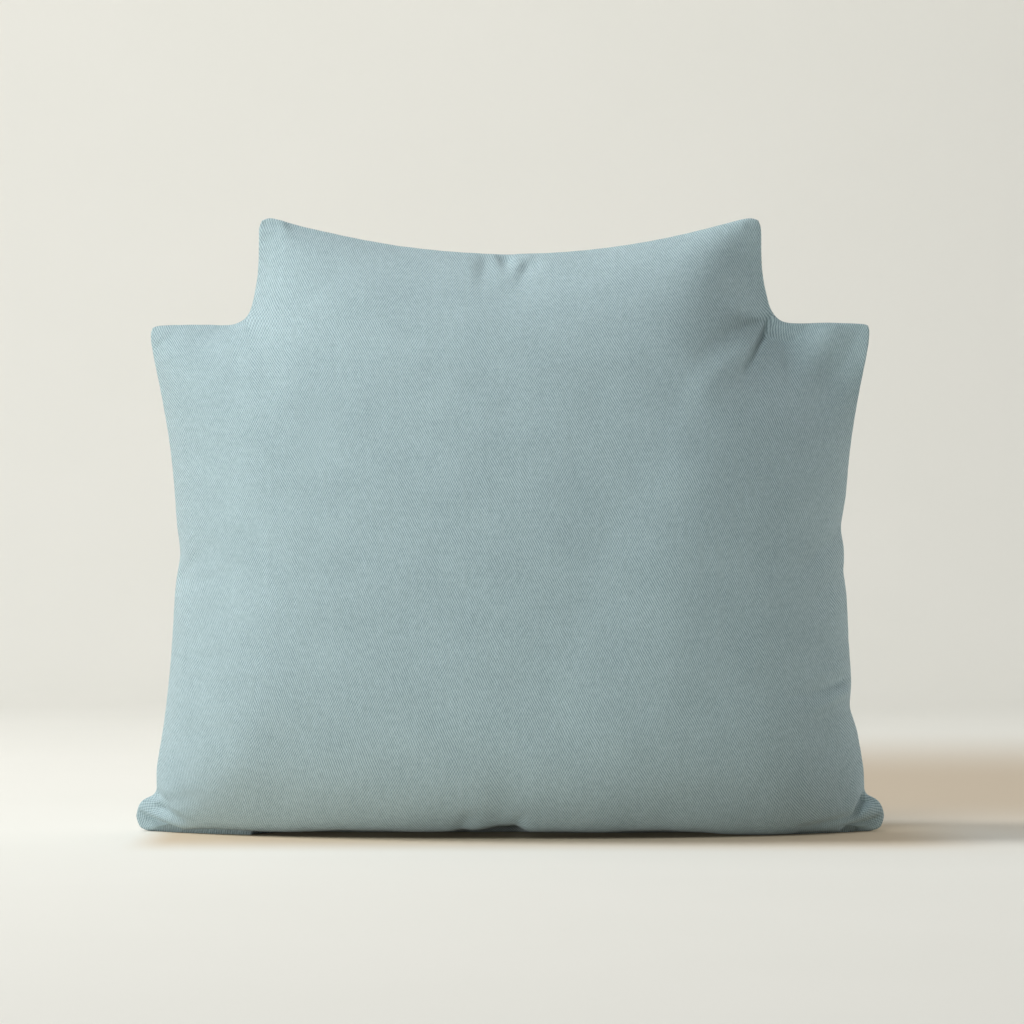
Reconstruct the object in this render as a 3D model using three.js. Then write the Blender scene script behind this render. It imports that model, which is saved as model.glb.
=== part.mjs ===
// Headboard wedge pillow with a stepped top: one filled cotton cushion that stands on its deep base.
// Two like panels, front and back, are sewn together edge to edge, so the solid is a filled shape with
// a knife-edge seam all round: thin at the top, thick near the floor, and turned under onto a flat base.
// Units are millimetres, +Z is up, the front faces -Y and the floor is Z = 0.

import * as THREE from 'three';
import { mergeVertices } from 'three/addons/utils/BufferGeometryUtils.js';

// Panel, as it is cut: a wide body with a narrower block above it.
const WING_HALF = 300; // half the width across the wing tips
const BLOCK_HALF = 210; // half the width of the raised block
const WING_TOP = 421; // floor to the wing tops
const BLOCK_TOP = 511; // floor to the tips of the block
const TUCK = 84; // length of panel that is turned under, from the floor's edge to the seam

// Outline of the filled pillow, seen face on. The filling draws the straight cut edges in.
const TOP_SAG = 31; // the top edge dips by this much between the tips
const TOP_SAG_POWER = 1.95;
const TIP_RADIUS = 11;
const SIDES = {
  left: {
    sign: -1,
    wingTop: 421, // floor to the wing's top edge
    wingRadius: 9,
    notchRadius: 19,
    notchLean: 5, // how far the block's side leans out above the notch
    wider: 0.6, // more half-width at the waist than SIDE_EDGE gives
    earReach: 310.6,
    earCrease: 292.6, // half-width in the crease above the ear
  },
  right: {
    sign: 1,
    wingTop: 422.6,
    wingRadius: 7,
    notchRadius: 18,
    notchLean: 6,
    wider: 1.8,
    earReach: 310.8,
    earCrease: 293.8,
  },
};
// Drawn-in side edge: half-width at each height, from under the wing tip down to the ear.
const SIDE_EDGE = [
  { z: 398, half: 298 },
  { z: 358, half: 289.6 },
  { z: 318, half: 282.8 },
  { z: 278, half: 278.6 },
  { z: 239, half: 276.8 },
  { z: 189, half: 279 },
  { z: 139, half: 282.4 },
  { z: 90, half: 288 },
  { z: 50, half: 294.4 },
];
const WAIST = { z: 220, reach: 90 };
// Ear: the bottom corner of the panels, squashed out sideways where it meets the floor.
const EAR = { height: 32, tipHeight: 13, heel: 6 };

// Depth of the filling. It is packed harder towards the base than at the thin top.
const FRONT_DEPTH = 134; // seam plane to the fullest point of the front panel
const BACK_DEPTH = 112;
// Shape of the section at the seam: 0.5 is round, 1 is a sharp wedge, and more knife edge makes both sharper.
const EDGE_POWER_TOP = 0.46;
const EDGE_POWER_BASE = 0.48;
const KNIFE_EDGE = 0.03;
// Corners that the filling reaches less or more than the rest: added to the power, and how far around.
const CORNERS = [
  { name: 'right wing', x: 265, z: 421, sharper: 1.5, reach: 65 },
  { name: 'right tip', x: 210, z: 511, sharper: 0.2, reach: 40 },
  { name: 'left wing', x: -300, z: 421, sharper: -0.15, reach: 40 },
];
const FILL_TOP = 0.8; // packing at the top edge
const FILL_BASE = 2; // packing at the floor
const TURN_RADIUS = 26; // how softly the cloth turns from the face onto the base
const SEAM_TURN_RADIUS = 2; // the same close to the seam, at the ears
const SEAM_TURN_DEPTH = 45;

// Pinches where the seam is drawn in: side of the pillow, height, depth and reach along the seam.
const PINCHES = [
  { side: -1, z: 231, depth: 4, reach: 13 },
  { side: 1, z: 255, depth: 3.5, reach: 13 },
  { side: 1, z: 216, depth: 1.8, reach: 9 },
  { side: 1, z: 104, depth: 4.5, reach: 12 },
];
// Soft creases and folds, each along a path over the face as [x, z]. A ridge has a negative depth.
const CREASES = [
  { name: 'top pucker, left', path: [[-13, 473], [-22, 455]], width: 8, depth: 4, back: true },
  { name: 'top pucker, right', path: [[15, 471], [11, 452]], width: 8, depth: 3, back: true },
  { name: 'left tip', path: [[-200, 503], [-186, 492]], width: 7, depth: 3, back: true },
  { name: 'left top edge', path: [[-173, 500], [-161, 490]], width: 8, depth: 2, back: false },
  { name: 'left wing', path: [[-289, 401], [-276, 412]], width: 7, depth: 3, back: true },
  { name: 'left wing, inner', path: [[-265, 408], [-236, 419]], width: 8, depth: 3, back: true },
  { name: 'block shoulder', path: [[184, 505], [173, 470], [158, 435]], width: 24, depth: -1.5, back: true },
  { name: 'right notch', path: [[226, 424], [219, 410], [206, 392]], width: 7, depth: 5, back: true },
  { name: 'right notch, tail', path: [[207, 398], [194, 377]], width: 9, depth: 2.5, back: false },
  {
    name: 'right notch, upper',
    path: [[213, 425], [193, 417], [158, 395]],
    width: 9,
    depth: 2.5,
    back: false,
  },
  {
    name: 'right notch, ridge',
    path: [[195, 400], [178, 386], [158, 367]],
    width: 10,
    depth: -2,
    back: false,
  },
  { name: 'right wing, valley', path: [[231, 416], [233, 398], [229, 374]], width: 10, depth: 2, back: true },
  { name: 'right wing, swell', path: [[278, 414], [266, 392], [250, 366]], width: 13, depth: -2, back: true },
  { name: 'right tongue', path: [[152, 352], [108, 316]], width: 26, depth: -1, back: false },
  {
    name: 'right shoulder',
    path: [[146, 285], [138, 235], [125, 165], [98, 110]],
    width: 45,
    depth: -5,
    back: true,
  },
  { name: 'slant valley', path: [[134, 362], [74, 241], [30, 120]], width: 28, depth: 1.5, back: false },
  { name: 'left side pinch', path: [[-276, 204], [-256, 228]], width: 8, depth: 4, back: true },
  { name: 'right side pinch', path: [[276, 255], [252, 233]], width: 9, depth: 3, back: true },
  { name: 'right low crease', path: [[272, 125], [247, 118], [229, 117]], width: 8, depth: 2.5, back: true },
  { name: 'right low ridge', path: [[277, 117], [258, 108], [238, 106]], width: 8, depth: -3, back: true },
  {
    name: 'corner valley',
    path: [[-245, 4], [-214, 20], [-190, 44], [-172, 76]],
    width: 36,
    depth: 3,
    back: false,
  },
  { name: 'left ear', path: [[-300, 27], [-266, 32]], width: 9, depth: 8, back: true },
  { name: 'right ear', path: [[300, 28], [271, 25]], width: 9, depth: 8, back: true },
];
// Low edge at the front: the middle of the face is held up a little by the seam under it.
const ARCH = { level: 125, end: 215, lift: 4.5 };
const BASE_PUCKER = { x: -6, reach: 13, lift: 5 };
const LIFT_FADE = 45; // height over which both lifts fade out
const LIFT_STARTS = 14; // distance from the seam at which the lifts begin, and at which they are whole
const LIFT_WHOLE = 58;
const FLOOR_FLAT = 0.5; // cloth this close to the floor lies flat on it

// Grid of the panel: number of cells across a wing, the block, the body and the block's height.
const CELLS = { wing: 8, block: 36, body: 40, rise: 9 };
const DENSE_COLUMNS = [
  { at: 0, reach: 35, gain: 1.2 },
  { at: -BLOCK_HALF, reach: 25, gain: 1 },
  { at: BLOCK_HALF, reach: 25, gain: 1 },
];
const DENSE_WING = [{ at: WING_HALF, reach: 20, gain: 1.6 }];
const DENSE_BODY = [
  { at: WING_TOP, reach: 30, gain: 1.4 },
  { at: 10, reach: 30, gain: 1.2 },
  { at: -TUCK, reach: 30, gain: 1.6 },
];
const DENSE_RISE = [{ at: BLOCK_TOP, reach: 25, gain: 1.2 }];
const RELAX_ROUNDS = 900;
const RELAX_STEP = 1.75; // over 1 settles faster, and 2 never settles

// Positions from `from` to `to`, closer together around each place in `dense`.
function gridLines(from, to, cells, dense) {
  const samples = 600;
  const sums = [0];
  for (let i = 0; i < samples; i += 1) {
    const at = from + ((to - from) * (i + 0.5)) / samples;
    const near = dense.map((d) => d.gain * Math.exp(-(((at - d.at) / d.reach) ** 2)));
    sums.push(sums[i] + near.reduce((total, gain) => total + gain, 1));
  }
  const lines = [];
  for (let cell = 0, i = 0; cell <= cells; cell += 1) {
    const target = (sums[samples] * cell) / cells;
    while (i < samples - 1 && sums[i + 1] < target) i += 1;
    const part = (target - sums[i]) / (sums[i + 1] - sums[i]);
    lines.push(from + ((to - from) * (i + part)) / samples);
  }
  return lines;
}

// Grid lines of the cut panel, symmetric across its middle.
function panelGrid() {
  const wing = gridLines(BLOCK_HALF, WING_HALF, CELLS.wing, DENSE_WING).slice(1);
  const block = gridLines(-BLOCK_HALF, BLOCK_HALF, CELLS.block, DENSE_COLUMNS);
  const body = gridLines(-TUCK, WING_TOP, CELLS.body, DENSE_BODY);
  const rise = gridLines(WING_TOP, BLOCK_TOP, CELLS.rise, DENSE_RISE).slice(1);
  return {
    columns: [...wing.map((u) => -u).reverse(), ...block, ...wing],
    rows: [...body, ...rise],
    first: CELLS.wing, // first and last column of the block
    last: CELLS.wing + CELLS.block,
    step: CELLS.body, // row of the wing tops
  };
}

const curve = (points) => new THREE.SplineCurve(points.map(([x, z]) => new THREE.Vector2(x, z)));
const arc = (x, z, radius, from, to) => new THREE.EllipseCurve(x, z, radius, radius, from, to, from > to, 0);

function joined(curves) {
  const path = new THREE.CurvePath();
  curves.forEach((piece) => path.add(piece));
  return path;
}

// Stretches of the outline on one side, drawn for +X: each runs from one corner of the cut panel to the next,
// and a round corner is split at its middle.
function outlineStretches({ wingTop, wingRadius, notchRadius, notchLean, wider, earReach, earCrease }) {
  const tipX = BLOCK_HALF - TIP_RADIUS;
  const tipZ = BLOCK_TOP - TIP_RADIUS;
  const sag = (x) => BLOCK_TOP - TOP_SAG * (1 - (x / tipX) ** TOP_SAG_POWER);
  const top = [0, 0.2, 0.4, 0.6, 0.8, 0.92, 1].map((part) => [part * tipX, sag(part * tipX)]);
  const wingTipX = WING_HALF - wingRadius;
  const wingTipZ = wingTop - wingRadius;
  const fillet = { x: BLOCK_HALF + notchLean + notchRadius, z: wingTop + notchRadius };
  const side = SIDE_EDGE.map(({ z, half }) => {
    const waist = Math.exp(-(((z - WAIST.z) / WAIST.reach) ** 2));
    return [half + wider * waist, z];
  });
  const earTop = [earCrease, EAR.height];
  const earTip = [earReach, EAR.tipHeight];
  const earHeel = [earReach - EAR.heel, 0];
  return {
    top: joined([curve(top), arc(tipX, tipZ, TIP_RADIUS, Math.PI / 2, Math.PI / 4)]),
    rise: joined([
      arc(tipX, tipZ, TIP_RADIUS, Math.PI / 4, 0),
      curve([
        [BLOCK_HALF, tipZ],
        [BLOCK_HALF, 0.5 * (tipZ + fillet.z)],
        [BLOCK_HALF + 0.4 * notchLean, fillet.z + 12],
        [BLOCK_HALF + notchLean, fillet.z],
      ]),
      arc(fillet.x, fillet.z, notchRadius, Math.PI, 1.25 * Math.PI),
    ]),
    wing: joined([
      arc(fillet.x, fillet.z, notchRadius, 1.25 * Math.PI, 1.5 * Math.PI),
      curve([[fillet.x, wingTop], [0.5 * (fillet.x + wingTipX), wingTop + 0.5], [wingTipX, wingTop]]),
      arc(wingTipX, wingTipZ, wingRadius, Math.PI / 2, Math.PI / 4),
    ]),
    side: joined([
      arc(wingTipX, wingTipZ, wingRadius, Math.PI / 4, 0),
      curve([[WING_HALF, wingTipZ], ...side, earTop, [0.5 * (earTop[0] + earTip[0]) + 1, 28], earTip]),
    ]),
    base: joined([
      curve([earTip, [earReach - 1.5, 0.4 * EAR.tipHeight], earHeel]),
      curve([earHeel, [280, -0.35 * TUCK], [225, -0.8 * TUCK], [120, -TUCK], [0, -TUCK]]),
    ]),
  };
}

// Seam position of every edge point of the cut panel, keyed by its column and row.
function seamPoints(grid) {
  const { columns, rows, first, last, step } = grid;
  const right = columns.length - 1;
  const topRow = rows.length - 1;
  const middle = 0.5 * (first + last);
  const seam = new Map();
  const lay = (sign, path, cells) => {
    const at = cells.map(([i, j]) => new THREE.Vector2(columns[i], rows[j]));
    const length = at.map((point, k) => (k === 0 ? 0 : point.distanceTo(at[k - 1])));
    const whole = length.reduce((total, piece) => total + piece, 0);
    let run = 0;
    cells.forEach(([i, j], k) => {
      run += length[k];
      const point = path.getPoint(Math.min(run / whole, 1));
      seam.set(`${i},${j}`, [sign * point.x, point.y]);
    });
  };
  const range = (from, to) => {
    const way = Math.sign(to - from) || 1;
    return Array.from({ length: Math.abs(to - from) + 1 }, (_, k) => from + way * k);
  };
  Object.values(SIDES).forEach((side) => {
    const stretch = outlineStretches(side);
    const blockColumn = side.sign > 0 ? last : first;
    const wingColumn = side.sign > 0 ? right : 0;
    lay(side.sign, stretch.top, range(middle, blockColumn).map((i) => [i, topRow]));
    lay(side.sign, stretch.rise, range(topRow, step).map((j) => [blockColumn, j]));
    lay(side.sign, stretch.wing, range(blockColumn, wingColumn).map((i) => [i, step]));
    lay(side.sign, stretch.side, range(step, 0).map((j) => [wingColumn, j]));
    lay(side.sign, stretch.base, range(wingColumn, middle).map((i) => [i, 0]));
  });
  for (const place of seam.values()) {
    for (const { side, z, depth, reach } of PINCHES) {
      if (Math.sign(place[0]) === side && Math.abs(place[0]) > BLOCK_HALF) {
        place[0] -= side * depth * Math.exp(-(((place[1] - z) / reach) ** 2));
      }
    }
  }
  return seam;
}

// Panel points with the outline fixed: the cloth between settles evenly, and the filling swells it.
function settledPanel(grid) {
  const { columns, rows, first, last, step } = grid;
  const seam = seamPoints(grid);
  const inside = (i, j) => j <= step || (i >= first && i <= last);
  const points = new Map();
  for (let j = 0; j < rows.length; j += 1) {
    for (let i = 0; i < columns.length; i += 1) {
      if (inside(i, j)) {
        const edge = seam.get(`${i},${j}`);
        const [x, z] = edge ?? [columns[i], rows[j]];
        points.set(`${i},${j}`, { i, j, x, z, swell: 0, edge: Boolean(edge) });
      }
    }
  }
  const free = [...points.values()].filter((point) => !point.edge).map((point) => {
    const { i, j } = point;
    const gaps = [
      columns[i] - columns[i - 1],
      columns[i + 1] - columns[i],
      rows[j] - rows[j - 1],
      rows[j + 1] - rows[j],
    ];
    const across = gaps[0] + gaps[1];
    const along = gaps[2] + gaps[3];
    const near = [[i - 1, j], [i + 1, j], [i, j - 1], [i, j + 1]].map(([a, b]) => points.get(`${a},${b}`));
    const pulls = gaps.map((gap, k) => 2 / (gap * (k < 2 ? across : along)));
    const height = THREE.MathUtils.clamp(rows[j] / BLOCK_TOP, 0, 1);
    const fill = THREE.MathUtils.lerp(FILL_BASE, FILL_TOP, height);
    return { point, near, pulls, total: pulls.reduce((a, b) => a + b, 0), fill };
  });
  for (let round = 0; round < RELAX_ROUNDS; round += 1) {
    for (const { point, near, pulls, total, fill } of free) {
      for (const key of ['x', 'z', 'swell']) {
        const source = key === 'swell' ? fill : 0;
        const pulled = near.reduce((sum, other, k) => sum + pulls[k] * other[key], source);
        point[key] += RELAX_STEP * (pulled / total - point[key]);
      }
    }
  }
  return points;
}

// Distance from a place on the face to the nearest point of a path.
function pathDistance(x, z, path) {
  const reaches = path.slice(1).map(([x2, z2], k) => {
    const [x1, z1] = path[k];
    const along = ((x - x1) * (x2 - x1) + (z - z1) * (z2 - z1)) / ((x2 - x1) ** 2 + (z2 - z1) ** 2);
    const part = THREE.MathUtils.clamp(along, 0, 1);
    return Math.hypot(x - x1 - part * (x2 - x1), z - z1 - part * (z2 - z1));
  });
  return Math.min(...reaches);
}

// Depth taken away by the creases at one place of a panel.
function creaseDepth(x, z, onBack) {
  const here = CREASES.filter((crease) => crease.back || !onBack);
  return here.reduce((sum, { path, width, depth }) => {
    return sum + depth * Math.exp(-((pathDistance(x, z, path) / width) ** 2));
  }, 0);
}

// Height after the cloth has turned under: level with the floor below it, with a soft bend between.
function turnedUnder(z, depth) {
  const away = THREE.MathUtils.smoothstep(depth, 0, SEAM_TURN_DEPTH);
  const radius = THREE.MathUtils.lerp(SEAM_TURN_RADIUS, TURN_RADIUS, away);
  if (z >= radius) return z;
  return z <= -radius ? 0 : (z + radius) ** 2 / (4 * radius);
}

function frontLift(x, z, depth) {
  const arch = ARCH.lift * (1 - THREE.MathUtils.smoothstep(Math.abs(x), ARCH.level, ARCH.end));
  const pucker = BASE_PUCKER.lift * Math.exp(-(((x - BASE_PUCKER.x) / BASE_PUCKER.reach) ** 2));
  const forward = THREE.MathUtils.smoothstep(depth, LIFT_STARTS, LIFT_WHOLE);
  return (arch + pucker) * forward * Math.exp(-((Math.max(z, 0) / LIFT_FADE) ** 2));
}

function pillowGeometry() {
  const grid = panelGrid();
  const points = settledPanel(grid);
  const fullest = Math.max(...[...points.values()].map((point) => point.swell));
  const place = ({ x, z, swell, edge }, onBack) => {
    const upward = THREE.MathUtils.clamp(z / BLOCK_TOP, 0, 1);
    const even = THREE.MathUtils.lerp(EDGE_POWER_BASE, EDGE_POWER_TOP, upward);
    const power = CORNERS.reduce((sum, corner) => {
      const away = Math.hypot(x - corner.x, z - corner.z) / corner.reach;
      return sum + corner.sharper * Math.exp(-(away ** 2));
    }, even);
    const section = (part) => (part + KNIFE_EDGE) ** power - KNIFE_EDGE ** power;
    const full = (section(swell / fullest) / section(1)) * (onBack ? BACK_DEPTH : FRONT_DEPTH);
    const depth = edge ? 0 : Math.max(full - creaseDepth(x, z, onBack), 0.25 * full);
    const risen = turnedUnder(z, depth) + (onBack || edge ? 0 : frontLift(x, z, depth));
    const y = (onBack ? depth : -depth) + 0.5 * (FRONT_DEPTH - BACK_DEPTH);
    return [x, y, risen < FLOOR_FLAT ? 0 : risen];
  };
  const corners = [];
  const at = (i, j) => points.get(`${i},${j}`);
  for (let j = 0; j < grid.rows.length - 1; j += 1) {
    for (let i = 0; i < grid.columns.length - 1; i += 1) {
      const quad = [at(i, j), at(i + 1, j), at(i + 1, j + 1), at(i, j + 1)];
      if (quad.every(Boolean)) {
        for (const onBack of [false, true]) {
          const [a, b, c, d] = quad.map((point) => place(point, onBack));
          // The diagonal leans with the outline, so that a corner cell is cut through its corner.
          const leans = (i < grid.columns.length / 2) === (j < grid.step / 2);
          const front = leans ? [a, b, c, a, c, d] : [a, b, d, b, c, d];
          corners.push(...(onBack ? front.reverse() : front));
        }
      }
    }
  }
  const geometry = new THREE.BufferGeometry();
  geometry.setAttribute('position', new THREE.Float32BufferAttribute(corners.flat(), 3));
  const merged = mergeVertices(geometry, 1e-3);
  merged.computeVertexNormals();
  return merged;
}

const cotton = new THREE.MeshStandardMaterial({ color: 0x94abae, roughness: 0.92, metalness: 0 });
const pillow = new THREE.Mesh(pillowGeometry(), cotton);
pillow.name = 'pillow';

const part = new THREE.Group();
part.add(pillow);

export default part;
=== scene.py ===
"""Headboard wedge pillow: a stepped-top cushion in pale blue-grey twill, standing on its turned-under base.

The two panels are laid out from the sizes they are cut to, filled by a cloth simulation with the seam held,
and then refined and creased. The pillow's lengths are in millimetres until its mesh is made, and in
metres after that. The studio's are in metres.
"""

import math

import bpy
import numpy as np
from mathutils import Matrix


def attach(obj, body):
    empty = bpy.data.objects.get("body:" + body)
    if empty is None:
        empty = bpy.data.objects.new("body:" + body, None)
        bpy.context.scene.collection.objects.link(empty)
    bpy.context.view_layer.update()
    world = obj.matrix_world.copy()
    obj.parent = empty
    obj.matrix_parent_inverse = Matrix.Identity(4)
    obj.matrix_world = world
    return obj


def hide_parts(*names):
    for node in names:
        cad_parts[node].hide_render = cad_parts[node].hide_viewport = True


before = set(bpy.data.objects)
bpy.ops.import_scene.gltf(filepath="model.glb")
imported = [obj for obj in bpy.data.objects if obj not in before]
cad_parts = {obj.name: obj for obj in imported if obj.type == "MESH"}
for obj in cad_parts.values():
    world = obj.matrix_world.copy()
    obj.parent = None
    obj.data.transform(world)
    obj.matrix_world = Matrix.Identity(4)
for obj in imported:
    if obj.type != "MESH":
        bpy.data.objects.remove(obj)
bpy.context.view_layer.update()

MM = 0.001

# Panel, as it is cut: a wide body with a narrower block above it.
WING_HALF = 300
BLOCK_HALF = 210
WING_TOP = 421
BLOCK_TOP = 511
TUCK = 84  # length of panel turned under, from the floor's edge to the seam

# Outline of the filled pillow, seen face on.
TOP_SAG = 31
TOP_SAG_POWER = 1.95
TIP_RADIUS = 11
SIDES = {
    -1: dict(wing_top=421, wing_radius=9, notch_radius=19, notch_lean=5,
             wider=0.6, ear_reach=310.6, ear_crease=292.6),
    1: dict(wing_top=422.6, wing_radius=7, notch_radius=18, notch_lean=6,
            wider=1.8, ear_reach=310.8, ear_crease=293.8),
}
# Drawn-in side edge, from the wing tip down: height and half-width.
SIDE_EDGE = [(398, 298), (358, 289.6), (318, 282.8), (278, 278.6), (239, 276.8),
             (189, 279), (139, 282.4), (90, 288), (50, 294.4)]
WAIST_HEIGHT, WAIST_REACH = 220, 90
EAR_HEIGHT, EAR_TIP, EAR_HEEL = 32, 13, 6

# Depth of the filling: packed harder towards the base than at the thin top.
FRONT_DEPTH, BACK_DEPTH = 134, 112
SEAM_PLANE = 0.5 * (FRONT_DEPTH - BACK_DEPTH)
EDGE_POWER_TOP, EDGE_POWER_BASE = 0.46, 0.48
KNIFE_EDGE = 0.03
# Corners that the filling reaches less or more than the rest: x, z, added power, and how far around.
CORNERS = [(265, 421, 1.5, 65), (210, 511, 0.2, 40), (-300, 421, -0.15, 40)]
FILL_TOP, FILL_BASE = 0.8, 2.0
HEM_DEPTH, HEM_REACH = 2.2, 4  # the seam's turned-in edge keeps the panels apart where the filling is thin
TURN_RADIUS = 26
SEAM_TURN_RADIUS, SEAM_TURN_DEPTH = 2, 45
ARCH = dict(level=125, end=215, lift=4.5)
BASE_PUCKER = dict(x=-6, reach=13, lift=5)
LIFT_FADE, LIFT_STARTS, LIFT_WHOLE = 45, 14, 58

# Cells of the coarse panel, and where its lines are closer together: place, reach and gain.
CELLS = dict(wing=9, block=38, body=46, rise=9)
DENSE_BLOCK = [(0, 30, 1.0), (-BLOCK_HALF, 22, 2.2), (BLOCK_HALF, 22, 2.2)]
DENSE_WING = [(WING_HALF, 16, 2.6), (BLOCK_HALF, 22, 1.2)]
DENSE_BODY = [(WING_TOP, 24, 2.2), (10, 30, 1.0), (-TUCK, 26, 1.8)]
DENSE_RISE = [(BLOCK_TOP, 18, 2.2), (WING_TOP, 20, 0.6)]

# Pinches where the seam is drawn in: side of the pillow, height, depth and reach along the seam.
PINCHES = [(-1, 231, 4, 13), (1, 255, 3.5, 13), (1, 216, 1.8, 9), (1, 104, 4.5, 12)]


def grid_lines(start, end, cells, dense):
    """Positions from start to end, closer together around each place in dense."""
    fine = np.linspace(start, end, 1201)
    middle = 0.5 * (fine[1:] + fine[:-1])
    weight = 1 + sum(gain * np.exp(-(((middle - place) / reach) ** 2)) for place, reach, gain in dense)
    total = np.concatenate([[0], np.cumsum(weight)])
    return np.interp(np.linspace(0, total[-1], cells + 1), total, fine)


def spline(points, steps=40):
    """A smooth curve through the points."""
    p = np.array(points, float)
    p = np.vstack([p[0], p, p[-1]])
    t = np.linspace(0, 1, steps, endpoint=False)[:, None]
    pieces = []
    for a, b, c, d in zip(p, p[1:], p[2:], p[3:]):
        leave, arrive = 0.5 * (c - a), 0.5 * (d - b)
        cubed, squared = 2 * b - 2 * c + leave + arrive, 3 * c - 3 * b - 2 * leave - arrive
        pieces.append(cubed * t**3 + squared * t**2 + leave * t + b)
    return np.vstack(pieces + [p[-1:]])


def arc(x, z, radius, start, end):
    """Part of a circle, from one angle to another in eighths of a turn."""
    angle = np.linspace(start, end, 24) * math.pi / 4
    return np.stack([x + radius * np.cos(angle), z + radius * np.sin(angle)], 1)


def along(path, parts):
    """Places on a path at the given parts of its length."""
    run = np.concatenate([[0], np.cumsum(np.hypot(*np.diff(path, axis=0).T))])
    return np.stack([np.interp(parts * run[-1], run, path[:, k]) for k in (0, 1)], 1)


def smooth_step(value, low, high):
    """0 at low, 1 at high, and smooth between them."""
    t = np.clip((value - low) / (high - low), 0, 1)
    return t * t * (3 - 2 * t)


def outline_stretches(wing_top, wing_radius, notch_radius, notch_lean, wider, ear_reach, ear_crease):
    """The seam on the +X side, as five stretches between the corners of the cut panel."""
    tip_x, tip_z = BLOCK_HALF - TIP_RADIUS, BLOCK_TOP - TIP_RADIUS
    parts = (0, 0.2, 0.4, 0.6, 0.8, 0.92, 1)
    top = [(part * tip_x, BLOCK_TOP - TOP_SAG * (1 - part**TOP_SAG_POWER)) for part in parts]
    wing_x, wing_z = WING_HALF - wing_radius, wing_top - wing_radius
    notch_x, notch_z = BLOCK_HALF + notch_lean + notch_radius, wing_top + notch_radius
    waist = [wider * math.exp(-(((z - WAIST_HEIGHT) / WAIST_REACH) ** 2)) for z, _ in SIDE_EDGE]
    side = [(half + more, z) for (z, half), more in zip(SIDE_EDGE, waist)]
    ear_tip = (ear_reach, EAR_TIP)
    ear_heel = (ear_reach - EAR_HEEL, 0)
    leaning = [(BLOCK_HALF, tip_z), (BLOCK_HALF, 0.5 * (tip_z + notch_z)),
               (BLOCK_HALF + 0.4 * notch_lean, notch_z + 12), (BLOCK_HALF + notch_lean, notch_z)]
    wing_edge = [(notch_x, wing_top), (0.5 * (notch_x + wing_x), wing_top + 0.5), (wing_x, wing_top)]
    ear_top = [(ear_crease, EAR_HEIGHT), (ear_crease + 7.5, 30), (ear_reach - 4, 26), (ear_reach - 0.5, 20),
               ear_tip]
    ear_end = [ear_tip, (ear_reach - 0.5, 0.4 * EAR_TIP), (ear_reach - 3, 1), ear_heel]
    under = [ear_heel, (280, -0.35 * TUCK), (225, -0.8 * TUCK), (120, -TUCK), (0, -TUCK)]
    tip = (tip_x, tip_z, TIP_RADIUS)
    notch = (notch_x, notch_z, notch_radius)
    wing = (wing_x, wing_z, wing_radius)
    return [
        np.vstack([spline(top), arc(*tip, 2, 1)]),
        np.vstack([arc(*tip, 1, 0), spline(leaning), arc(*notch, 4, 5)]),
        np.vstack([arc(*notch, 5, 6), spline(wing_edge), arc(*wing, 2, 1)]),
        np.vstack([arc(*wing, 1, 0), spline([(WING_HALF, wing_z)] + side + ear_top)]),
        np.vstack([spline(ear_end), spline(under)]),
    ]


def cut_panel():
    """Lines of the cut panel, and the places of its inner corners: block columns and the wing tops' row."""
    wing = grid_lines(BLOCK_HALF, WING_HALF, CELLS["wing"], DENSE_WING)[1:]
    block = grid_lines(-BLOCK_HALF, BLOCK_HALF, CELLS["block"], DENSE_BLOCK)
    body = grid_lines(-TUCK, WING_TOP, CELLS["body"], DENSE_BODY)
    rise = grid_lines(WING_TOP, BLOCK_TOP, CELLS["rise"], DENSE_RISE)[1:]
    columns = np.concatenate([-wing[::-1], block, wing])
    rows = np.concatenate([body, rise])
    return columns, rows, CELLS["wing"], CELLS["wing"] + CELLS["block"], CELLS["body"]


def sewn_edge(columns, rows, first, last, step):
    """Where each edge point of the panel is sewn: {(row, column): (x, z)}."""
    top_row, right, middle = len(rows) - 1, len(columns) - 1, (first + last) // 2
    seam = {}
    for side, sizes in SIDES.items():
        block_column, wing_column = (last, right) if side > 0 else (first, 0)
        cells = [
            [(top_row, i) for i in range(middle, block_column + side, side)],
            [(j, block_column) for j in range(top_row, step - 1, -1)],
            [(step, i) for i in range(block_column, wing_column + side, side)],
            [(j, wing_column) for j in range(step, -1, -1)],
            [(0, i) for i in range(wing_column, middle - side, -side)],
        ]
        for path, places in zip(outline_stretches(**sizes), cells):
            cut = np.array([(columns[i], rows[j]) for j, i in places])
            run = np.concatenate([[0], np.cumsum(np.hypot(*np.diff(cut, axis=0).T))])
            for place, (x, z) in zip(places, along(path, run / run[-1])):
                seam[place] = [side * x, z]
    for place in seam.values():
        for side, height, depth, reach in PINCHES:
            if side * place[0] > BLOCK_HALF:
                place[0] -= side * depth * math.exp(-(((place[1] - height) / reach) ** 2))
    return seam


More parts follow.
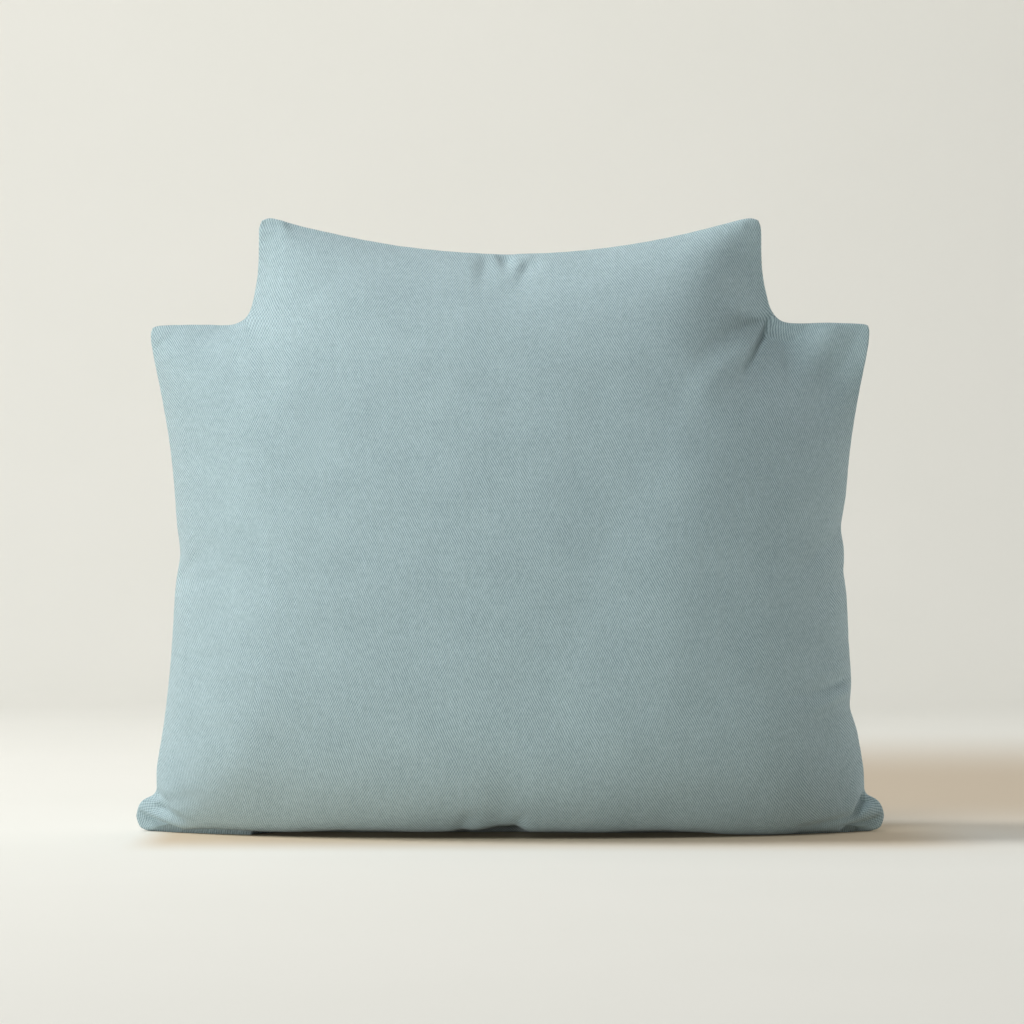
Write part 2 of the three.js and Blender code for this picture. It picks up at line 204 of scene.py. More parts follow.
def settled_panel():
    """The panel with its edge sewn: x, z and swell at every point, with the cloth between spread evenly."""
    columns, rows, first, last, step = cut_panel()
    seam = sewn_edge(columns, rows, first, last, step)
    cloth = [(j, i) for j in range(len(rows)) for i in range(len(columns)) if j <= step or first <= i <= last]
    free = [place for place in cloth if place not in seam]
    number = {place: k for k, place in enumerate(free)}
    pull = np.zeros((len(free), len(free)))
    push = np.zeros((len(free), 3))
    for k, (j, i) in enumerate(free):
        left, right = columns[i] - columns[i - 1], columns[i + 1] - columns[i]
        below, above = rows[j] - rows[j - 1], rows[j + 1] - rows[j]
        near = {
            (j, i - 1): 2 / (left * (left + right)),
            (j, i + 1): 2 / (right * (left + right)),
            (j - 1, i): 2 / (below * (below + above)),
            (j + 1, i): 2 / (above * (below + above)),
        }
        pull[k, k] = sum(near.values())
        push[k, 2] = np.interp(rows[j] / BLOCK_TOP, [0, 1], [FILL_BASE, FILL_TOP])
        for place, weight in near.items():
            if place in seam:
                push[k, :2] += weight * np.array(seam[place])
            else:
                pull[k, number[place]] -= weight
    solved = np.linalg.solve(pull, push)
    solved[:, 2] /= solved[:, 2].max()
    points = {place: (x, z, 0) for place, (x, z) in seam.items()}
    points.update({place: tuple(solved[k]) for k, place in enumerate(free)})
    return columns, rows, cloth, seam, points


def depth_of(x, z, swell):
    """How far the filling holds the cloth from the seam's plane, as a part of the full depth."""
    power = np.interp(z / BLOCK_TOP, [0, 1], [EDGE_POWER_BASE, EDGE_POWER_TOP])
    for corner_x, corner_z, sharper, reach in CORNERS:
        power = power + sharper * math.exp(-((x - corner_x) ** 2 + (z - corner_z) ** 2) / reach**2)
    edge = KNIFE_EDGE**power
    return ((swell + KNIFE_EDGE) ** power - edge) / ((1 + KNIFE_EDGE) ** power - edge)


def turned_under(z, depth):
    """Height after the cloth has turned under onto the floor, with a soft bend."""
    radius = SEAM_TURN_RADIUS + (TURN_RADIUS - SEAM_TURN_RADIUS) * smooth_step(depth, 0, SEAM_TURN_DEPTH)
    return np.where(z >= radius, z, np.clip(z + radius, 0, None) ** 2 / (4 * radius))


def front_lift(x, z, depth):
    """How far the seam under the front edge holds it off the floor."""
    arch = ARCH["lift"] * (1 - smooth_step(abs(x), ARCH["level"], ARCH["end"]))
    pucker = BASE_PUCKER["lift"] * np.exp(-(((x - BASE_PUCKER["x"]) / BASE_PUCKER["reach"]) ** 2))
    fade = np.exp(-((np.clip(z, 0, None) / LIFT_FADE) ** 2))
    return (arch + pucker) * fade * smooth_step(depth, LIFT_STARTS, LIFT_WHOLE)


def coarse_pillow():
    """The filled pillow on the coarse grid: two panels that share the seam's points."""
    columns, rows, cloth, seam, points = settled_panel()
    places, cuts, sides, index = [], [], [], {}
    for side, full in ((-1, FRONT_DEPTH), (1, BACK_DEPTH)):
        for j, i in cloth:
            sewn = (j, i) in seam
            if sewn and side > 0:
                index[side, j, i] = index[-1, j, i]
                continue
            x, z, swell = points[j, i]
            hem = HEM_DEPTH * (1 - math.exp(-edge_distance(columns[i], rows[j]) / HEM_REACH))
            depth = full * depth_of(x, z, swell) + hem
            lift = front_lift(x, z, depth) if side < 0 and not sewn else 0
            index[side, j, i] = len(places)
            places.append((x, side * depth + SEAM_PLANE, float(turned_under(z, depth)) + lift))
            cuts.append((columns[i], rows[j], 0 if sewn else side))
            sides.append(0 if sewn else side)
    faces = []
    for j, i in cloth:
        corners = [(j, i), (j, i + 1), (j + 1, i + 1), (j + 1, i)]
        if all(corner in points for corner in corners):
            for side in (-1, 1):
                faces.append([index[(side,) + corner] for corner in corners[::-side]])
    mesh = bpy.data.meshes.new("pillow_cloth")
    mesh.from_pydata((np.array(places) * MM).tolist(), [], faces)
    cut = mesh.attributes.new("cut", "FLOAT_VECTOR", "POINT")
    cut.data.foreach_set("vector", np.array(cuts, np.float32).ravel())
    piece = bpy.data.objects.new("pillow_cloth", mesh)
    bpy.context.scene.collection.objects.link(piece)
    return piece, np.array(sides)


def positions(mesh):
    """Places of the mesh's points, in millimetres."""
    flat = np.empty(len(mesh.vertices) * 3)
    mesh.vertices.foreach_get("co", flat)
    return flat.reshape(-1, 3) / MM


def positions_cut(mesh):
    """Places on the cut panels, and the panel: -1 in front, 1 at the back and 0 on the seam."""
    flat = np.empty(len(mesh.vertices) * 3)
    mesh.attributes["cut"].data.foreach_get("vector", flat)
    return flat.reshape(-1, 3)


def set_positions(mesh, places):
    mesh.vertices.foreach_set("co", (places * MM).ravel())
    mesh.update()


# Filling: air pressure, how much longer the cloth is than its shape, steps, and how far a point may move.
PRESSURE = 4
CLOTH_GROWTH = -0.012
SIM_STEPS = 20
SIM_CAP = 7
SIM_EVENED = 12  # rounds that even the movement out between neighbours
SIM_EDGE = 30  # distance from the seam within which the cloth doesn't spread past the outline
FLOOR_HOLD = 6  # cloth lower than this stays where it is


def filled(piece, sides):
    """Swells the cloth with the seam and the base held, and keeps the result within the cap."""
    start = positions(piece.data)
    held = piece.vertex_groups.new(name="held")
    fixed = (sides == 0) | (start[:, 2] < FLOOR_HOLD)
    held.add(np.nonzero(fixed)[0].tolist(), 1, "REPLACE")
    cloth = piece.modifiers.new("filling", "CLOTH")
    cloth.settings.vertex_group_mass = "held"
    cloth.settings.use_pressure = True
    cloth.settings.uniform_pressure_force = PRESSURE
    cloth.settings.shrink_min = CLOTH_GROWTH
    cloth.settings.effector_weights.gravity = 0
    cloth.collision_settings.use_collision = False
    cloth.point_cache.frame_start = 1
    cloth.point_cache.frame_end = SIM_STEPS
    scene = bpy.context.scene
    for step in range(1, SIM_STEPS + 1):
        scene.frame_set(step)
    swollen = piece.evaluated_get(bpy.context.evaluated_depsgraph_get())
    move = positions(swollen.data) - start
    scene.frame_set(1)
    piece.modifiers.remove(cloth)
    ends = np.array([edge.vertices[:] for edge in piece.data.edges])
    for _ in range(SIM_EVENED):
        near = np.zeros((len(move), 4))
        np.add.at(near, ends[:, 0], np.insert(move[ends[:, 1]], 3, 1, axis=1))
        np.add.at(near, ends[:, 1], np.insert(move[ends[:, 0]], 3, 1, axis=1))
        move = 0.5 * move + 0.5 * near[:, :3] / near[:, 3:]
        move[fixed] = 0
    u, v, _ = positions_cut(piece.data).T
    move[:, [0, 2]] *= smooth_step(edge_distance(u, v), 0, SIM_EDGE)[:, None]
    length = np.linalg.norm(move, axis=1, keepdims=True)
    print("filling moved the cloth by up to", length.max(), "mm, mean", length.mean())
    capped = move * SIM_CAP * np.tanh(length / SIM_CAP) / np.maximum(length, 1e-6)
    set_positions(piece.data, start + capped)
    piece.vertex_groups.clear()


def refined(piece, levels=2):
    """Subdivides the cloth, with the seam kept sharp."""
    mesh = piece.data
    sewn = np.array([abs(item.vector[2]) < 0.5 for item in mesh.attributes["cut"].data])
    crease = mesh.attributes.new("crease_edge", "FLOAT", "EDGE")
    ends = np.array([edge.vertices[:] for edge in mesh.edges])
    crease.data.foreach_set("value", (sewn[ends[:, 0]] & sewn[ends[:, 1]]).astype(np.float32))
    smooth = piece.modifiers.new("smooth", "SUBSURF")
    smooth.levels = smooth.render_levels = levels
    bpy.context.view_layer.objects.active = piece
    bpy.ops.object.modifier_apply(modifier="smooth")


# Creases and soft folds in the cloth: path over the face as x, z; half-widths to the left and right of the
# path's direction; depths at its start and end, where a ridge is negative; and the panels that have it.
FRONT, BOTH = 1, 2
CREASES = {
    "top pinch": ([(-4, 481), (-3, 466)], (6, 6), (7, 1.5), FRONT),
    "top pucker, left": ([(-21, 470), (-23, 454)], (10, 6), (3.2, 1.4), BOTH),
    "top pucker, thin ridge": ([(16, 477), (7, 468), (-2, 461)], (3, 3), (-0.9, -0.4), FRONT),
    "top pucker, right": ([(13, 467), (9, 456)], (9, 5), (3, 1.6), BOTH),
    "top pucker, tail": ([(1, 454), (-5, 440)], (10, 6), (0.8, 0.3), FRONT),
    "top pucker, far": ([(20, 470), (30, 456)], (6, 3), (0.6, 0.3), FRONT),
    "left tip": ([(-203, 506), (-194, 501)], (4, 4), (1.2, 0.8), FRONT),
    "left tip, lower": ([(-204, 490), (-198, 495)], (3, 4), (1, 0.5), FRONT),
    "left tip, ridge": ([(-190, 506), (-184, 488)], (5, 5), (-1.2, -0.5), FRONT),
    "left top edge": ([(-181, 504), (-172, 500), (-160, 494)], (4, 5), (2, 0.6), FRONT),
    "left top pucker": ([(-95, 487), (-90, 478)], (5, 4), (0.8, 0.2), FRONT),
    "left wing": ([(-292, 403), (-283, 411), (-276, 416)], (3, 7), (1.4, 0.8), BOTH),
    "left wing, inner": ([(-262, 407), (-250, 413), (-236, 420)], (3, 10), (1, 1.6), BOTH),
    "left notch": ([(-226, 401), (-234, 388), (-243, 368)], (5, 5), (-0.7, -0.3), FRONT),
    "left notch, second": ([(-217, 397), (-210, 384), (-206, 370)], (5, 5), (-0.8, -0.3), FRONT),
    "right tip": ([(193, 506), (196, 488)], (5, 8), (-0.8, -0.4), FRONT),
    "block shoulder": ([(184, 505), (173, 470), (158, 435)], (18, 30), (-2, -1), BOTH),
    "right notch": ([(219, 425), (212, 412), (203, 398), (195, 386)], (20, 2.6), (8, 4), BOTH),
    "right notch, tail": ([(200, 392), (188, 368)], (9, 5), (0.8, 0.3), FRONT),
    "right notch, thin ridge": ([(217, 408), (207, 391), (195, 371)], (5, 4), (-1.2, -0.6), FRONT),
    "right notch, upper": ([(213, 425), (193, 417), (174, 408), (158, 395)], (15, 4.5), (2.4, 1), FRONT),
    "right notch, upper ridge": ([(182, 428), (160, 412)], (6, 9), (-0.8, -0.4), FRONT),
    "right notch, ridge": ([(195, 400), (178, 386), (158, 367)], (12, 9), (-2.1, -1), FRONT),
    "right wing, near valley": ([(231, 416), (232, 398), (229, 374)], (13, 6), (3.2, 1), BOTH),
    "right wing, swell": ([(264, 413), (252, 394), (238, 366)], (12, 12), (-4, -1.5), FRONT),
    "right wing, far valley": ([(292, 410), (274, 384), (254, 350)], (14, 9), (2.4, 1), FRONT),
    "right tongue": ([(152, 352), (108, 316)], (22, 30), (-1.2, -0.8), FRONT),
    "right shoulder": ([(146, 285), (138, 235), (125, 165), (98, 110), (72, 55)], (45, 45), (-6, -2), BOTH),
    "slant valley": ([(134, 362), (112, 290), (74, 241), (50, 180), (30, 120)], (28, 28), (1.2, 1.2), FRONT),
    "left side ridge": ([(-272, 238), (-256, 252)], (6, 6), (-0.6, -0.3), FRONT),
    "left side pinch": ([(-270, 214), (-260, 226), (-249, 236)], (3.5, 14), (2.2, 0.8), BOTH),
    "left side pinch, low": ([(-251, 211), (-237, 215), (-224, 220)], (3, 10), (0.9, 0.4), FRONT),
    "left side, third": ([(-251, 146), (-236, 149)], (3, 8), (0.5, 0.4), FRONT),
    "left low side": ([(-266, 82), (-248, 87), (-232, 90)], (4, 8), (0.4, 0.3), FRONT),
    "right side pinch": ([(276, 252), (256, 234), (240, 220)], (9, 5), (1.8, 0.8), BOTH),
    "right side, second": ([(277, 216), (262, 204), (248, 190)], (10, 7), (1.3, 0.6), FRONT),
    "right side, third": ([(279, 159), (250, 150)], (6, 6), (0.6, 0.4), FRONT),
    "right low swell": ([(272, 136), (240, 125)], (6, 6), (-1.3, -0.7), FRONT),
    "right low crease": ([(274, 125), (258, 120), (247, 117), (229, 116)], (3.5, 3.5), (2.4, 1.2), BOTH),
    "right low ridge": ([(277, 117), (258, 108), (248, 103)], (4, 4), (-3, -1.4), BOTH),
    "right corner": ([(287, 58), (275, 28)], (4, 4), (0.8, 0.8), FRONT),
    "right corner, second": ([(277, 60), (266, 34)], (4, 4), (0.6, 0.6), FRONT),
    "corner valley": ([(-245, 4), (-214, 20), (-190, 44), (-172, 76)], (26, 45), (4, 2), FRONT),
    "corner fold": ([(-284, 26), (-262, 31)], (5, 8), (1.4, 0.8), FRONT),
    "corner fold, low": ([(-292, 22), (-284, 18), (-273, 12)], (2.5, 6), (5, 3), FRONT),
    "base fold, left": ([(-44, 81), (-42, 57), (-32, 35)], (5, 5), (0.5, 0.5), FRONT),
    "base fold, middle": ([(24, 77), (23, 33)], (6, 6), (-0.4, -0.4), FRONT),
    "base fold, right": ([(112, 121), (104, 97)], (7, 7), (0.4, 0.4), FRONT),
    "base dimple, left": ([(-38, 9), (-34, 14)], (7, 7), (2.5, 2.5), FRONT),
    "base dimple, right": ([(5, 8), (8, 14)], (6, 6), (2.5, 2.5), FRONT),
    "left ear": ([(-308, 14), (-291, 7), (-277, 0)], (2.5, 8), (6, 6), FRONT),
    "left ear, upper": ([(-293, 31), (-284, 24)], (4, 4), (3, 2), BOTH),
    "right ear": ([(295, 31), (289, 22), (284, 14), (262, 9), (240, 6)], (9, 2.5), (6, 2), FRONT),
    "right ear, ridge": ([(299, 21), (288, 12), (258, 4)], (3, 3), (-2, -1), FRONT),
    "right ear, low": ([(303, 10), (292, 6), (279, 2)], (8, 2.5), (5, 5), FRONT),
}
CREASE_REACH = 3  # half-widths at which a crease has faded out
CREASE_PART = 0.7  # no crease is deeper than this part of the filling's depth there


def one_crease(x, z, path, widths, depths):
    """Depth of one crease at places near it."""
    points = spline(path, steps=5)
    lengths = np.hypot(*np.diff(points, axis=0).T)
    starts = np.concatenate([[0], np.cumsum(lengths)])
    nearest, side, run = np.full_like(x, np.inf), np.zeros_like(x), np.zeros_like(x)
    for (x1, z1), (x2, z2), length, start in zip(points, points[1:], lengths, starts):
        along_x, along_z = (x2 - x1) / length, (z2 - z1) / length
        reached = np.clip((x - x1) * along_x + (z - z1) * along_z, 0, length)
        away_x, away_z = x - x1 - reached * along_x, z - z1 - reached * along_z
        distance = np.hypot(away_x, away_z) + 1e-6
        closer = distance < nearest
        nearest = np.where(closer, distance, nearest)
        side = np.where(closer, (along_x * away_z - along_z * away_x) / distance, side)
        run = np.where(closer, start + reached, run)
    left, right = widths
    width = right + (left - right) * 0.5 * (1 + side)
    return np.interp(run / starts[-1], [0, 1], depths) * np.exp(-((nearest / width) ** 2))


def crease_depth(x, z, front):
    """Depth of all the creases at places on one panel."""
    total = np.zeros_like(x)
    for path, widths, depths, panels in CREASES.values():
        (low_x, low_z), (high_x, high_z) = np.min(path, axis=0), np.max(path, axis=0)
        reach = CREASE_REACH * max(widths)
        near = (x > low_x - reach) & (x < high_x + reach) & (z > low_z - reach) & (z < high_z + reach)
        near &= front | (panels == BOTH)
        total[near] += one_crease(x[near], z[near], path, widths, depths)
    return total


# Fine unevenness of the filling under the cloth: wavelength and height.
UNEVEN = [(70, 0.25), (38, 0.12), (22, 0.06)]
UNEVEN_WAVES = 14
UNEVEN_STARTS, UNEVEN_WHOLE = 4, 40  # distance from the seam over which the lumps come in


def unevenness(x, z, side):
    """Gentle lumps, made of waves in all directions."""
    rng = np.random.default_rng(7)
    total = np.zeros_like(x)
    for wavelength, height in UNEVEN:
        for _ in range(UNEVEN_WAVES):
            turn, phase = rng.uniform(0, math.pi), rng.uniform(0, 2 * math.pi)
            wave = 2 * math.pi / (wavelength * rng.uniform(0.75, 1.35))
            run = wave * (x * math.cos(turn) + z * math.sin(turn)) + phase + side
            total += height / math.sqrt(UNEVEN_WAVES) * np.sin(run)
    return total


def edge_distance(u, v):
    """Distance from the seam on the cut panel."""
    across = abs(u)
    to_block, to_wing = BLOCK_HALF - across, WING_TOP - v
    in_block = np.where(v > WING_TOP, to_block, np.hypot(to_block, to_wing))
    notch = np.where(across > BLOCK_HALF, to_wing, in_block)
    return np.minimum(np.minimum(v + TUCK, WING_HALF - across), np.minimum(BLOCK_TOP - v, notch))


# Seam: how far it is drawn in between the panels, the cloth's swell beside it, and its stitches' gathers.
SEAM_DRAW, SEAM_WIDTH = 1.1, 0.5
SEAM_PUFF = 0.35
SEAM_PUFF_AT, SEAM_PUFF_REACH = 2.2, 1.6
GATHER_LENGTH, GATHER_HEIGHT, GATHER_REACH = 17, 0.06, 6
# Creases keep this part of their depth at the seam in front, and start further from it at the back.
CREASE_AT_SEAM = 0.25
CREASE_WHOLE_FRONT, CREASE_STARTS_BACK, CREASE_WHOLE_BACK = 5, 2, 14
ON_FLOOR = 0.05


def creased(piece):
    """Adds the creases, the lumps and the sewn edge to the refined cloth, and keeps it on the floor."""
    mesh = piece.data
    places = positions(mesh)
    normals = np.empty(len(mesh.vertices) * 3)
    mesh.vertices.foreach_get("normal", normals)
    normals = normals.reshape(-1, 3)
    u, v, side = positions_cut(mesh).T
    x, y, z = places.T
    distance = edge_distance(u, v)
    room = CREASE_PART * abs(y - SEAM_PLANE)
    inside_front = CREASE_AT_SEAM + (1 - CREASE_AT_SEAM) * smooth_step(distance, 0, CREASE_WHOLE_FRONT)
    inside_back = smooth_step(distance, CREASE_STARTS_BACK, CREASE_WHOLE_BACK)
    out = -np.minimum(crease_depth(x, z, side < 0) * np.where(side < 0, inside_front, inside_back), room)
    out += unevenness(u, v, np.sign(side)) * smooth_step(distance, UNEVEN_STARTS, UNEVEN_WHOLE)
    drawn = -SEAM_DRAW * np.exp(-((distance / SEAM_WIDTH) ** 2))
    out += drawn + SEAM_PUFF * np.exp(-(((distance - SEAM_PUFF_AT) / SEAM_PUFF_REACH) ** 2))
    gather = GATHER_HEIGHT * np.sin(2 * math.pi * (u + v) / GATHER_LENGTH)
    out += gather * np.exp(-((distance / GATHER_REACH) ** 2))
    on_floor = places[:, 2] < ON_FLOOR
    places = places + normals * out[:, None]
    places[:, 2] = np.where(on_floor, 0, np.maximum(places[:, 2], 0))
    set_positions(mesh, places)


def lay_out_weave(piece):
    """UV map that follows the cut panels, in metres, mirrored at the back, where the weave is the same."""
    mesh = piece.data
    cut = positions_cut(mesh)
    corner = np.empty(len(mesh.loops), np.int32)
    mesh.loops.foreach_get("vertex_index", corner)
    starts = np.empty(len(mesh.polygons), np.int32)
    mesh.polygons.foreach_get("loop_start", starts)
    counts = np.empty(len(mesh.polygons), np.int32)
    mesh.polygons.foreach_get("loop_total", counts)
    panel = np.sign(np.add.reduceat(cut[corner, 2], starts))
    uv = cut[corner, :2] * MM
    uv[:, 0] *= -np.repeat(panel, counts)
    mesh.uv_layers.new(name="weave").data.foreach_set("uv", uv.astype(np.float32).ravel())
    mesh.attributes.remove(mesh.attributes["cut"])


class Value:
    """A number in a material, with Python's own operators."""

    def __init__(self, paint, socket):
        self.paint = paint
        self.socket = socket

    def _maths(self, operation, *inputs):
        return self.paint.number("ShaderNodeMath", {"operation": operation}, *inputs)

    def __add__(self, other):
        return self._maths("ADD", self, other)

    def __sub__(self, other):
        return self._maths("SUBTRACT", self, other)

    def __rsub__(self, other):
        return self._maths("SUBTRACT", other, self)

    def __mul__(self, other):
        return self._maths("MULTIPLY", self, other)

    __radd__ = __add__
    __rmul__ = __mul__

    def sine(self):
        return self._maths("SINE", self)

    def between(self, low, high):
        """0 at low, 1 at high, and smooth between them."""
        settings = {"interpolation_type": "SMOOTHSTEP"}
        return self.paint.number("ShaderNodeMapRange", settings, self, low, high)

    def within(self, starts, whole, leaves, gone):
        """1 from whole to leaves, 0 before starts and after gone, and smooth between them."""
        return self.between(starts, whole) * (1 - self.between(leaves, gone))


class Paint:
    """One material and the nodes that make it."""

    def __init__(self, name):
        self.material = bpy.data.materials.new(name)
        self.material.use_nodes = True
        self.tree = self.material.node_tree
        self.tree.nodes.clear()

    def node(self, kind, settings=None, inputs=()):
        """A node: its type, its settings, and the values or links of its sockets, by name or in order."""
        made = self.tree.nodes.new(kind)
        for name, value in (settings or {}).items():
            setattr(made, name, value)
        pairs = inputs.items() if isinstance(inputs, dict) else enumerate(inputs)
        for key, value in pairs:
            if isinstance(value, Value):
                value = value.socket
            if isinstance(value, bpy.types.NodeSocket):
                self.tree.links.new(value, made.inputs[key])
            else:
                made.inputs[key].default_value = value
        return made

    def number(self, kind, settings, *inputs):
        return Value(self, self.node(kind, settings, inputs).outputs[0])

    def noise(self, place, scale, detail=2.0, roughness=0.5):
        inputs = {"Vector": place, "Scale": scale, "Detail": detail, "Roughness": roughness}
        return Value(self, self.node("ShaderNodeTexNoise", inputs=inputs).outputs["Fac"])

    def blend(self, part, first, second):
        """A colour between two others."""
        made = self.node("ShaderNodeMix", {"data_type": "RGBA"})
        for key, value in ((0, part), (6, first), (7, second)):
            value = value.socket if isinstance(value, Value) else value
            if isinstance(value, bpy.types.NodeSocket):
                self.tree.links.new(value, made.inputs[key])
            else:
                made.inputs[key].default_value = value
        return made.outputs[2]

    def finish(self, **sockets):
        """The surface itself, with spaces in socket names written as underscores."""
        inputs = {name.replace("_", " "): value for name, value in sockets.items()}
        surface = self.node("ShaderNodeBsdfPrincipled", inputs=inputs)
        self.node("ShaderNodeOutputMaterial", inputs={"Surface": surface.outputs[0]})
        return self.material


# Twill: the spacing of its ribs in millimetres, and their slope on the cloth.
RIB_SPACING = 1.8
RIB_SLOPE = math.radians(64)
RIB_LIGHT = (0.45, 0.58, 0.61, 1)
RIB_DARK = (0.20, 0.285, 0.31, 1)
RIB_BUMP, RIB_BUMP_HEIGHT = 0.55, 0.35
# Noise over the cloth, as scale and detail, and how far each moves the ribs or what part it has in the shade.
WANDER, WANDER_PART = (0.09, 3.0), 0.9
YARN, YARN_PART = (0.55, 2.0), 0.22
MOTTLE, MOTTLE_PART = (0.22, 3.0), 0.30
PATCH, PATCH_PART = (0.028, 3.0), 0.15
RIB_PART = 0.55
# The second diagonal: its least part, how much more it has in places, and the noise that says where.
SECOND, SECOND_LEAST, SECOND_MORE = (0.02, 2.0), 0.2, 0.35


def twill():
    """Brushed cotton twill: steep fine ribs, uneven yarn, small slubs and a soft nap."""
    paint = Paint("cotton_twill")
    weave = paint.node("ShaderNodeUVMap", {"uv_map": "weave"}).outputs[0]
    scaled = paint.node("ShaderNodeVectorMath", {"operation": "SCALE"}, {"Vector": weave, "Scale": 1 / MM})
    cloth = scaled.outputs[0]
    axes = paint.node("ShaderNodeSeparateXYZ", inputs=[cloth])
    u, v = Value(paint, axes.outputs[0]), Value(paint, axes.outputs[1])
    uneven = paint.noise(cloth, *WANDER) * WANDER_PART + paint.noise(cloth, *YARN) * YARN_PART
    steep, level = math.sin(RIB_SLOPE) / RIB_SPACING, math.cos(RIB_SLOPE) / RIB_SPACING
    falling = ((u * steep + v * level + uneven) * (2 * math.pi)).sine() * 0.5 + 0.5
    rising = ((u * steep - v * level + uneven) * (2 * math.pi)).sine() * 0.5 + 0.5
    second = paint.noise(cloth, *SECOND).between(0.35, 0.65) * SECOND_MORE + SECOND_LEAST
    height = falling * (1 - second) + rising * second
    mottle, patch = paint.noise(cloth, *MOTTLE), paint.noise(cloth, *PATCH)
    shade = height * RIB_PART + mottle * MOTTLE_PART + patch * PATCH_PART
    colour = paint.blend(shade.between(0.15, 0.85), RIB_DARK, RIB_LIGHT)
    ribs = {"Strength": RIB_BUMP, "Distance": RIB_BUMP_HEIGHT * MM, "Height": height}
    bump = paint.node("ShaderNodeBump", inputs=ribs)
    return paint.finish(Base_Color=colour, Roughness=0.93, Specular_IOR_Level=0.25, Sheen_Weight=0.12,
                        Sheen_Roughness=0.6, Normal=bump.outputs[0])


def pillow():
    """The whole pillow: laid out, filled, refined, creased and dressed in its twill."""
    piece, sides = coarse_pillow()
    filled(piece, sides)
    refined(piece)
    creased(piece)
    lay_out_weave(piece)
    piece.data.materials.append(twill())
    piece.data.polygons.foreach_set("use_smooth", np.ones(len(piece.data.polygons), bool))
    piece.data.update()
    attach(piece, "root")
    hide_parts("pillow")


# Camera: a long lens, level with the pillow's lower half and tilted up a little, in degrees.
CAMERA_DISTANCE, CAMERA_HEIGHT, CAMERA_X = 3.5, 0.235, 0.0016
CAMERA_PITCH = 0.49
CAMERA_LENS = 148.5

# Cream sweep, and the warm shadows painted on it beneath the pillow and behind it to the right: their colour,
# and where they start, are whole, begin to fade and have gone, along X and Y.
SWEEP_FRONT, SWEEP_BACK, SWEEP_HALF, SWEEP_HEIGHT, SWEEP_RADIUS = -16, 4.4, 7, 6, 1.6
PAPER_DARK, PAPER_LIGHT = (0.80, 0.795, 0.735, 1), (0.83, 0.82, 0.765, 1)
PAINTED_SHADOW_BEHIND = dict(colour=(0.57, 0.485, 0.375, 1), x=(0.0, 0.25, 0.6, 1.2), y=(-0.35, 0.45, 0.8, 2.0))
PAINTED_SHADOW_BENEATH = dict(colour=(0.64, 0.53, 0.39, 1), x=(-0.31, -0.27, 0.3, 0.4), y=(-0.25, -0.08, 0.06, 0.16))

# Soft white lights: place, what they are turned towards, width and height, and power in watts.
PILLOW_MIDDLE = (0, 0, 0.25)
LIGHTS = {
    "key": ((-2.5, 0, 3.2), PILLOW_MIDDLE, (1, 1), 90),
    "top": ((-0.6, -1.6, 3.2), PILLOW_MIDDLE, (1, 1), 34),
    "over": ((0, 0.6, 3.4), (0, 0.9, 0), (2, 1), 13),
    "low, left": ((-2.4, -2.4, 0.15), PILLOW_MIDDLE, (1.6, 0.3), 39),
    "low": ((0.3, -3, 0.15), PILLOW_MIDDLE, (2.4, 0.3), 7),
    "rim": ((3, 1.4, 0.15), PILLOW_MIDDLE, (1, 0.25), 33),
    "wall": ((-2.5, 2.1, 3.2), (-2, 4.4, 0.8), (3, 2), 41),
    "wall, right": ((1.5, 2.1, 3.2), (0.8, 4.4, 0.8), (3, 2), 19),
    "floor in front": ((0, -5.5, 3.5), (0, -8, 0), (4, 2), 140),
}
ROOM_LIGHT, ROOM_COLOUR = 0.115, (1, 0.985, 0.95, 1)


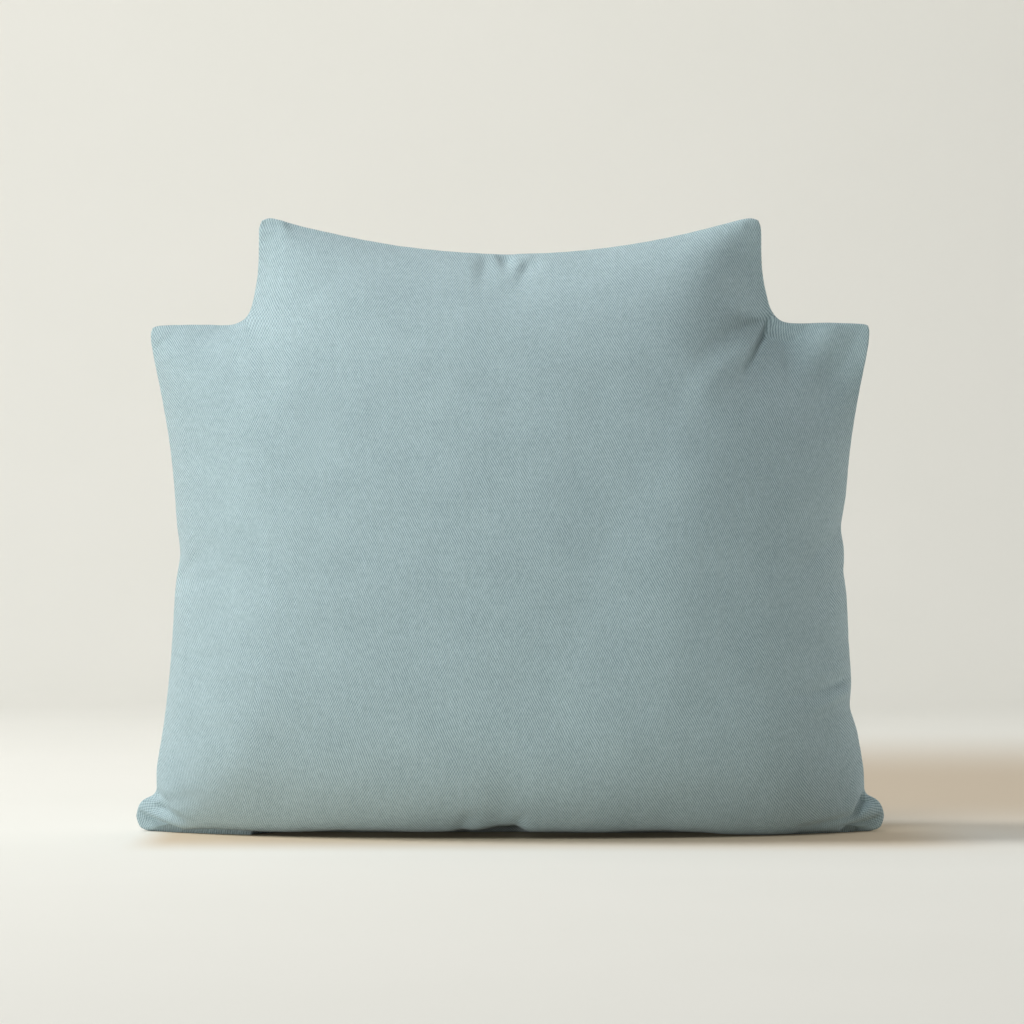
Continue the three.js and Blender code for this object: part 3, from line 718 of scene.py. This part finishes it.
def sweep():
    """Floor and wall in one sheet, with a round turn between."""
    bpy.ops.object.select_all(action="DESELECT")
    bpy.ops.mesh.primitive_plane_add(size=1, location=(0, 0.5 * (SWEEP_FRONT + SWEEP_BACK), 0))
    sheet = bpy.context.object
    sheet.name = sheet.data.name = "sweep"
    sheet.scale = (2 * SWEEP_HALF, SWEEP_BACK - SWEEP_FRONT, 1)
    bpy.ops.object.transform_apply(location=True, rotation=True, scale=True)
    bpy.ops.object.mode_set(mode="EDIT")
    bpy.ops.mesh.select_all(action="DESELECT")
    bpy.ops.object.mode_set(mode="OBJECT")
    for edge in sheet.data.edges:
        edge.select = all(sheet.data.vertices[k].co.y > SWEEP_BACK - 0.01 for k in edge.vertices)
    bpy.ops.object.mode_set(mode="EDIT")
    bpy.ops.mesh.select_mode(type="EDGE")
    bpy.ops.mesh.extrude_region_move(TRANSFORM_OT_translate={"value": (0, 0, SWEEP_HEIGHT)})
    bpy.ops.object.mode_set(mode="OBJECT")
    for edge in sheet.data.edges:
        ends = [sheet.data.vertices[k].co for k in edge.vertices]
        edge.select = all(end.y > SWEEP_BACK - 0.01 and end.z < 0.01 for end in ends)
    bpy.ops.object.mode_set(mode="EDIT")
    bpy.ops.mesh.bevel(offset=SWEEP_RADIUS, segments=24)
    bpy.ops.mesh.select_all(action="SELECT")
    bpy.ops.mesh.normals_make_consistent(inside=False)
    bpy.ops.object.mode_set(mode="OBJECT")
    bpy.ops.object.shade_smooth()
    paint = Paint("cream_paper_with_painted_shadow")
    place = paint.node("ShaderNodeTexCoord").outputs["Object"]
    axes = paint.node("ShaderNodeSeparateXYZ", inputs=[place])
    x, y = Value(paint, axes.outputs[0]), Value(paint, axes.outputs[1])
    fleck = paint.noise(place, 3.0, 4.0)
    colour = paint.blend(fleck, PAPER_DARK, PAPER_LIGHT)
    # Painted shadows: the paper is blended to warm brown beneath the pillow and behind it to the right,
    # standing in for the pillow's shadow.
    for shade in (PAINTED_SHADOW_BEHIND, PAINTED_SHADOW_BENEATH):
        colour = paint.blend(y.within(*shade["y"]) * x.within(*shade["x"]), colour, shade["colour"])
    sheet.data.materials.append(paint.finish(Base_Color=colour, Roughness=0.9, Specular_IOR_Level=0.1))


def soft_light(name, place, aim, size, power):
    light = bpy.data.lights.new(name, "AREA")
    light.shape = "RECTANGLE"
    light.size, light.size_y = size
    light.energy = power
    lamp = bpy.data.objects.new(name, light)
    bpy.context.scene.collection.objects.link(lamp)
    lamp.location = place
    lamp.visible_camera = False
    way = np.array(aim) - np.array(place)
    lamp.rotation_euler = (math.atan2(math.hypot(way[0], way[1]), -way[2]), 0, math.atan2(-way[0], way[1]))


def studio():
    for name, light in LIGHTS.items():
        soft_light(name, *light)
    world = bpy.data.worlds.new("room")
    world.use_nodes = True
    room = world.node_tree.nodes["Background"]
    room.inputs["Color"].default_value = ROOM_COLOUR
    room.inputs["Strength"].default_value = ROOM_LIGHT
    bpy.context.scene.world = world


def camera():
    lens = bpy.data.cameras.new("camera")
    lens.lens = CAMERA_LENS
    lens.sensor_width = 36
    lens.clip_end = 60
    stand = bpy.data.objects.new("camera", lens)
    bpy.context.scene.collection.objects.link(stand)
    stand.location = (CAMERA_X, -CAMERA_DISTANCE, CAMERA_HEIGHT)
    stand.rotation_euler = (math.radians(90 + CAMERA_PITCH), 0, 0)
    bpy.context.scene.camera = stand


bpy.context.scene.view_settings.view_transform = "Standard"
camera()
studio()
sweep()
pillow()
